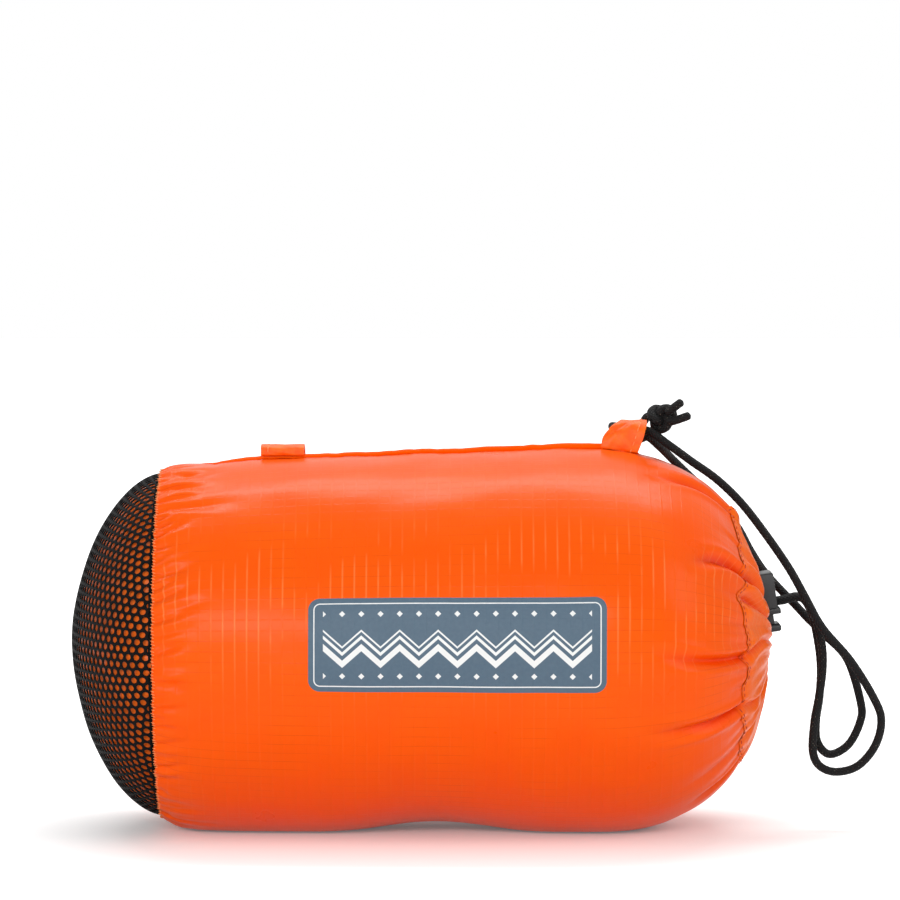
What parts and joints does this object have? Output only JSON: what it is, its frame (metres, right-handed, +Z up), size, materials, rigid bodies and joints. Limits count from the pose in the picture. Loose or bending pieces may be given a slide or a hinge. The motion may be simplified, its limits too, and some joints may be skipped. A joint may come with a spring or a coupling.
{
  "type": "packed group shelter in a stow bag",
  "caption": "Packed group shelter in a ripstop stow bag lying on its side, with a mesh end, a gathered drawcord mouth, a sliding spring cord lock and tape carry loops.",
  "frame": {"origin": "under the middle of the bag, on the surface that it lies on", "axes": "+X runs along the bag to its drawcord mouth, +Y points away from the viewer of the front, +Z is up"},
  "size_m": [0.2764, 0.133, 0.1465],
  "materials": {
    "orange_ripstop": "satin coated ripstop",
    "black_mesh": "matt knitted mesh",
    "orange_tape": "soft satin tape",
    "black_tape": "matt tape",
    "black_cord": "braided cord",
    "black_acetal": "satin moulded",
    "spring_steel": "bright wire",
    "grey_seat_cloth": "matt woven",
    "clear_window_film": "clear film, folded"
  },
  "bodies": {
    "bag": {"sack_body": "orange_ripstop", "mesh_end": "black_mesh", "mesh_seam_tape": "black_tape", "top_seam": "orange_ripstop", "drawcord_casing": "orange_ripstop", "drawcord_hem": "black_cord", "right_loop": "orange_tape", "packed_canopy": "orange_ripstop", "seat_panel_upper": "grey_seat_cloth", "seat_panel_lower": "grey_seat_cloth", "folded_window": "clear_window_film", "drawcord_long": "black_cord", "drawcord_short": "black_cord", "cord_knot": "black_cord", "cord_tail_upper": "black_cord", "cord_tail_lower": "black_cord"},
    "left_loop": {"left_loop": "orange_tape"},
    "cord_lock": {"lock_body": "black_acetal", "lock_spring": "spring_steel"},
    "lock_button": {"lock_plunger": "black_acetal"}
  },
  "joints": [
    {"name": "left_loop_swing", "type": "hinge", "parent": "bag", "child": "left_loop", "pos_m": [-0.0471, -0.0034, 0.1285], "axis": [1, 0, 0], "range_deg": [0, 70]},
    {"name": "cord_lock_slide", "type": "slide", "parent": "bag", "child": "cord_lock", "axis": [0.9903, 0, 0.1392], "range_m": [0, 0.005]},
    {"name": "lock_button_press", "type": "slide", "parent": "cord_lock", "child": "lock_button", "axis": [-0.1392, 0, 0.9903], "range_m": [0, 0.0024], "stiffness_N_per_m": 1200, "springref_m": -0.001, "deforming": ["lock_spring"]}
  ]
}
